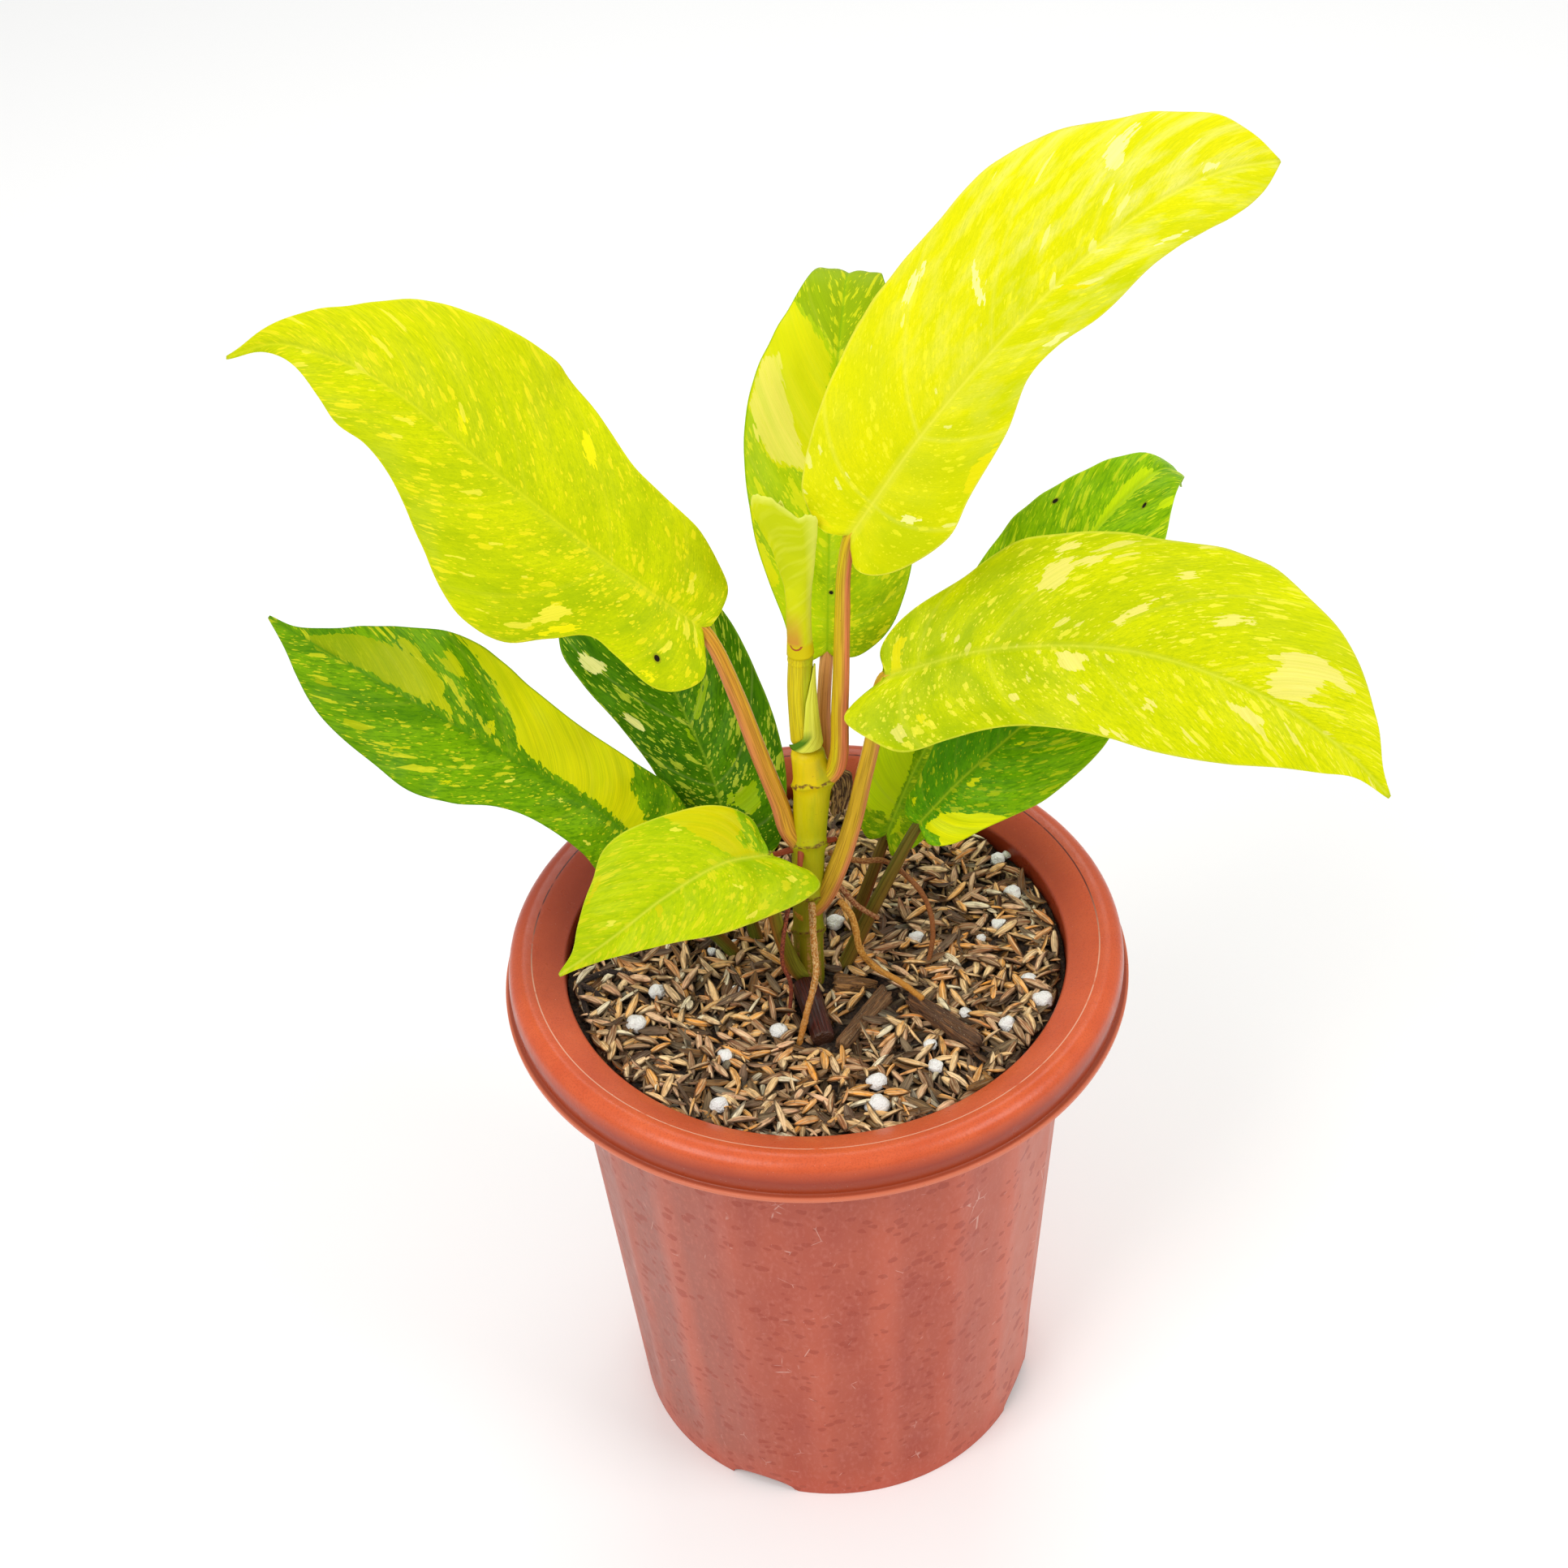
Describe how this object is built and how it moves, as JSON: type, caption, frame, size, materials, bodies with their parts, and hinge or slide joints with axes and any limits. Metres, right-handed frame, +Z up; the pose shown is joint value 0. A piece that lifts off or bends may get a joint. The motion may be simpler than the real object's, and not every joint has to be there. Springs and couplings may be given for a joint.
{
  "type": "potted variegated philodendron",
  "caption": "Young bushy house plant with yellow-green variegated oblong leaves, a rolled new leaf and aerial roots, in a fluted round nursery pot of rice-hull potting mix.",
  "frame": {"origin": "centre of the pot's foot, on the surface that it stands on", "axes": "+Z up through the middle of the pot, -Y towards the front of the plant, +X to its right"},
  "size_m": [0.3004, 0.18, 0.3988],
  "materials": {
    "pot_plastic": "moulded brick-red polypropylene, glossy rim, dusty satin body",
    "potting_mix": "loose tan, brown and grey rice hulls over dark peat",
    "perlite": "white porous grains",
    "stem_skin": "yellow-green waxy skin with papery brown nodes",
    "leaf_sunny": "bright yellow waxy blade with cream flecks",
    "leaf_lime": "lime waxy blade with cream and green sectors",
    "leaf_dark": "mid to dark green waxy blade with lime and yellow sectors",
    "petiole_red": "salmon to olive petiole with fine lengthwise streaks",
    "petiole_green": "olive green petiole with brown-red streaks",
    "new_leaf": "pale yellow-green rolled young blade",
    "new_leaf_sheath": "thin pale sheath with fine lines",
    "dry_sheath": "dry brown pleated leaf sheath",
    "aerial_root": "tan to red-brown aerial root with a granular skin",
    "old_stem": "dark maroon grooved old stem with a fibrous brown cut",
    "bark_chip": "fibrous weathered brown bark and twig"
  },
  "bodies": {
    "root": {"pot": "pot_plastic", "soil": "potting_mix", "stem": "stem_skin", "petiole_top_right": "petiole_red", "leaf_top_right": "leaf_sunny", "petiole_left": "petiole_red", "leaf_left": "leaf_sunny", "petiole_right": "petiole_red", "leaf_right": "leaf_sunny", "petiole_back_centre": "petiole_red", "leaf_back_centre": "leaf_lime", "petiole_low_left": "petiole_green", "leaf_low_left": "leaf_dark", "petiole_back_left": "petiole_green", "leaf_back_left": "leaf_dark", "petiole_small_front": "petiole_green", "leaf_small_front": "leaf_lime", "petiole_back_right": "petiole_red", "leaf_back_right": "leaf_dark", "petiole_low_right": "petiole_green", "leaf_low_right": "leaf_dark", "new_leaf_petiole": "stem_skin", "new_leaf_sheath": "new_leaf_sheath", "new_leaf_spear": "new_leaf", "dry_bract": "dry_sheath", "old_stem_stub": "old_stem", "root_front": "aerial_root", "root_right": "aerial_root", "root_short": "aerial_root", "root_far_right": "aerial_root", "root_thin": "aerial_root", "bark_long": "bark_chip", "bark_short": "bark_chip", "bark_flake": "bark_chip", "black_twig": "bark_chip", "perlite_1": "perlite", "perlite_2": "perlite", "perlite_3": "perlite", "perlite_4": "perlite", "perlite_5": "perlite", "perlite_6": "perlite", "perlite_7": "perlite", "perlite_8": "perlite", "perlite_9": "perlite", "perlite_10": "perlite", "perlite_11": "perlite", "perlite_12": "perlite", "perlite_13": "perlite", "perlite_14": "perlite", "perlite_15": "perlite", "perlite_16": "perlite"}
  },
  "joints": []
}
